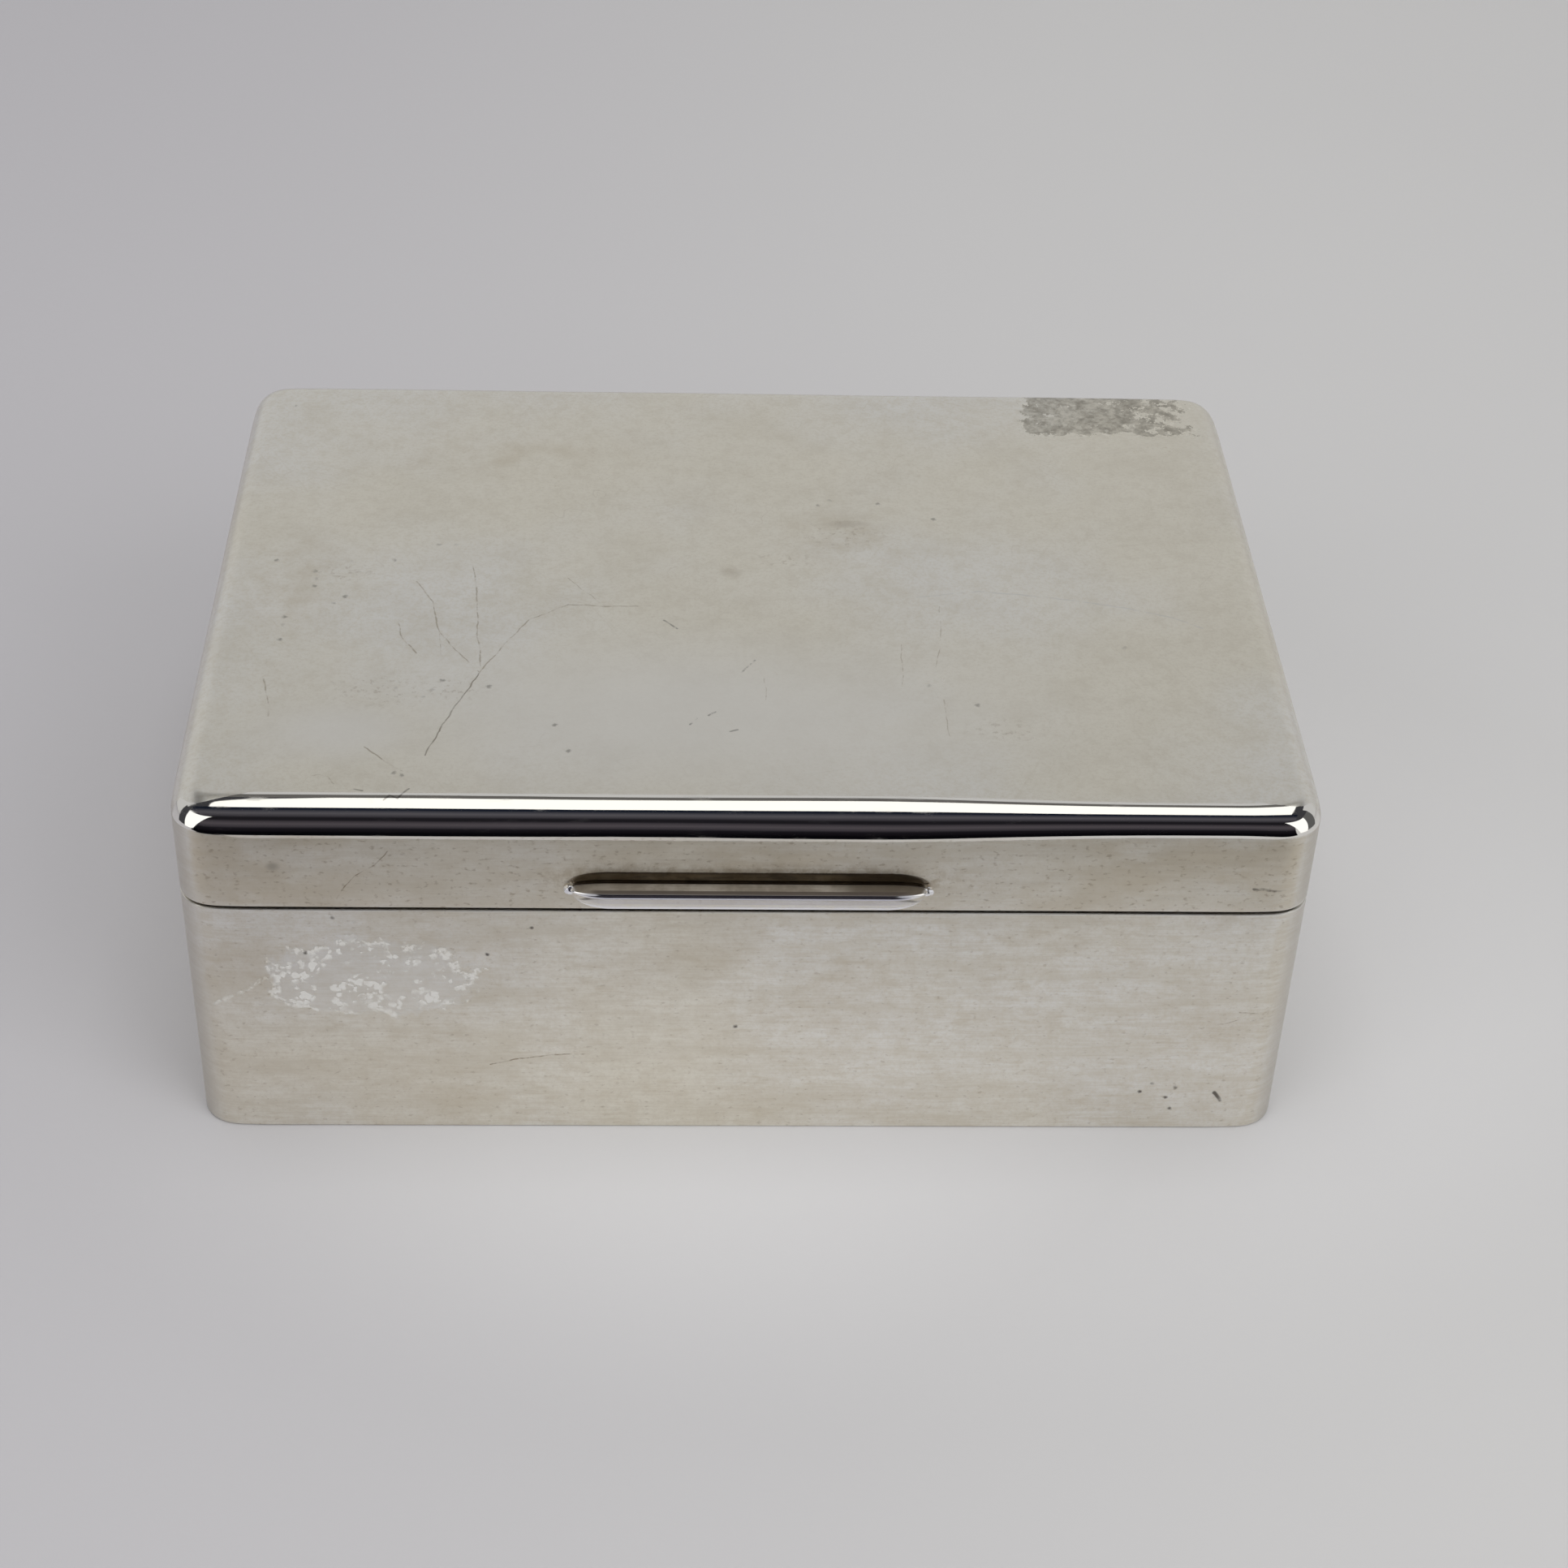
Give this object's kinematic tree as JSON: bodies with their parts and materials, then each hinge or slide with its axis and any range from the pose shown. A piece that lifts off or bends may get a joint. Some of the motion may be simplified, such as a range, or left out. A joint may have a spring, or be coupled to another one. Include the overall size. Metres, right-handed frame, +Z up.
{
  "type": "cigarette box",
  "caption": "Rectangular silver table box for cigarettes, with rounded edges, a hinged lid with a thumb-piece, and a cedar lining divided into two compartments.",
  "frame": {"origin": "centre of the underside, on the plane that the box stands on", "axes": "+Z up through the lid, +X to the right along the hinge and the long side, -Y to the front, where the thumb-piece is"},
  "size_m": [0.1142, 0.086, 0.0424],
  "materials": {
    "satin_silver": "worn sterling silver, polished and hazed, with fine straight brushing and hairline scratches",
    "bright_silver": "polished silver",
    "cedar": "plain unvarnished cedar, straight grained",
    "pin_steel": "drawn steel wire"
  },
  "bodies": {
    "box": {"side_band": "satin_silver", "base_plate": "satin_silver", "lining_floor": "cedar", "lining_front": "cedar", "lining_back": "cedar", "lining_left": "cedar", "lining_right": "cedar", "divider": "cedar", "box_hinge_strip": "satin_silver", "box_knuckle_1": "satin_silver", "box_knuckle_2": "satin_silver", "box_knuckle_3": "satin_silver", "box_knuckle_4": "satin_silver", "hinge_pin": "pin_steel"},
    "lid": {"lid_shell": "satin_silver", "thumb_piece": "bright_silver", "lid_panel": "cedar", "lid_lining_front": "cedar", "lid_lining_back": "cedar", "lid_lining_left": "cedar", "lid_lining_right": "cedar", "lid_hinge_strip": "satin_silver", "lid_knuckle_1": "satin_silver", "lid_knuckle_2": "satin_silver", "lid_knuckle_3": "satin_silver"}
  },
  "joints": [
    {"name": "lid_hinge", "type": "hinge", "parent": "box", "child": "lid", "pos_m": [0, 0.04155, 0.0302], "axis": [-1, 0, 0], "range_deg": [0, 98]}
  ]
}
